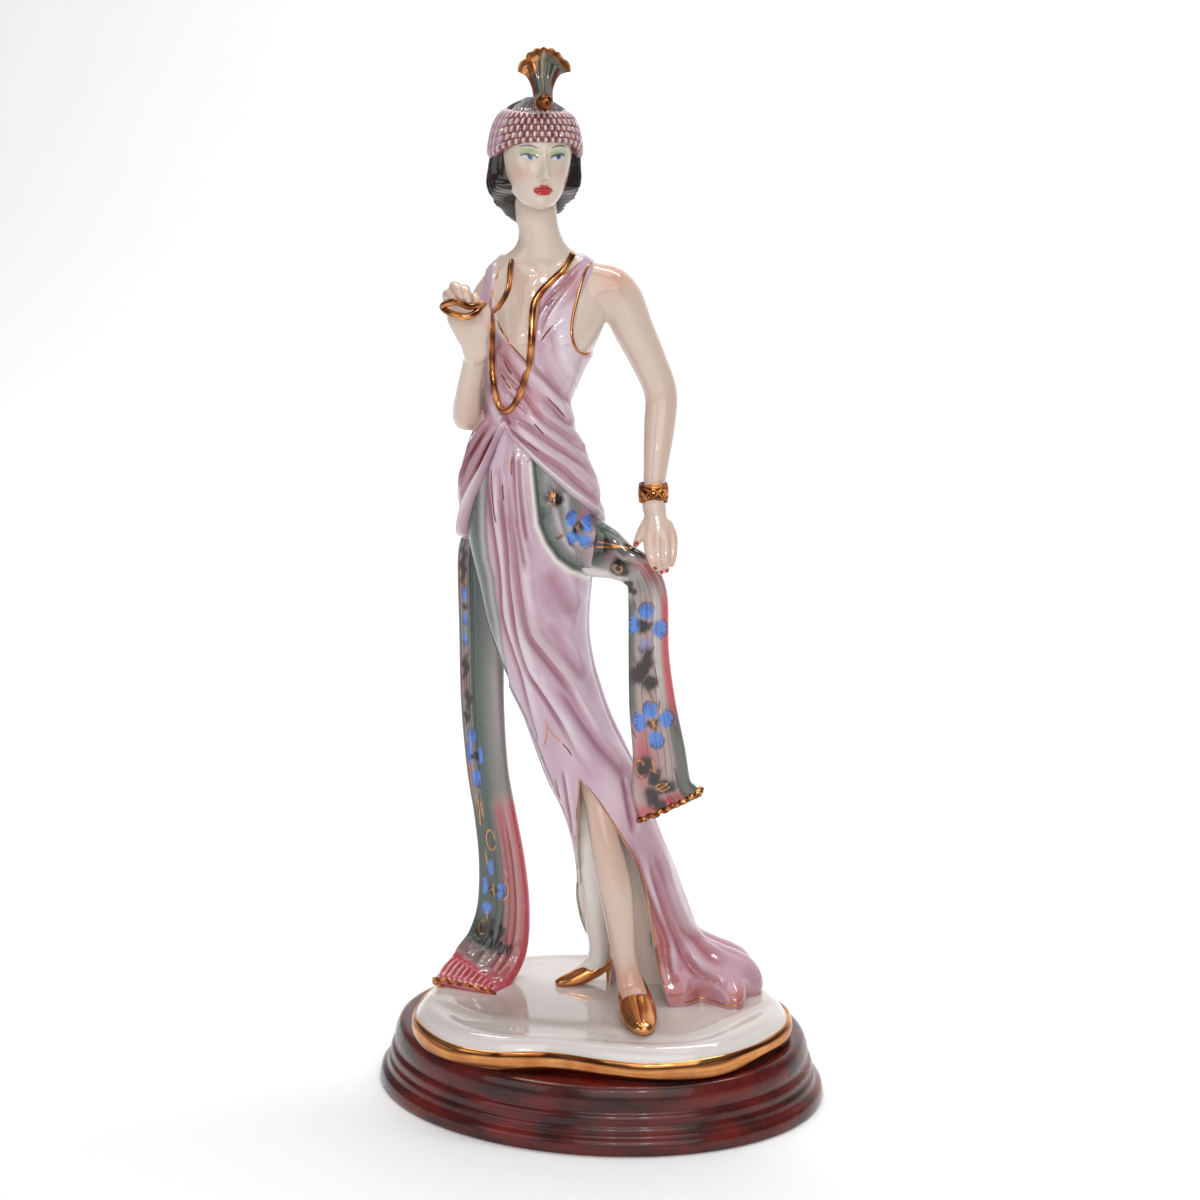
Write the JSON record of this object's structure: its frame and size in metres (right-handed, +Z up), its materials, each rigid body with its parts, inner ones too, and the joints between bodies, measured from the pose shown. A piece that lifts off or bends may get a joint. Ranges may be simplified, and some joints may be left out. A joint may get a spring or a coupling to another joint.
{
  "type": "porcelain lady figurine",
  "caption": "Glazed porcelain lady in a draped evening gown, holding a long necklace and a trailing scarf, cast with her mound and resting on a moulded oval wood plinth.",
  "frame": {"origin": "centre of the plinth's underside", "axes": "+Z up, X along the plinth's long axis, Y along its short axis; the lady faces -Y, turned towards +X"},
  "size_m": [0.209, 0.162, 0.4784],
  "materials": {
    "lacquered_wood": "glossy red-brown lacquer",
    "painted_porcelain": "airbrushed lilac, ivory and grey-green under a high gloss glaze, with gilt edges"
  },
  "bodies": {
    "root": {"wooden_plinth": "lacquered_wood", "porcelain_lady": "painted_porcelain"}
  },
  "joints": []
}
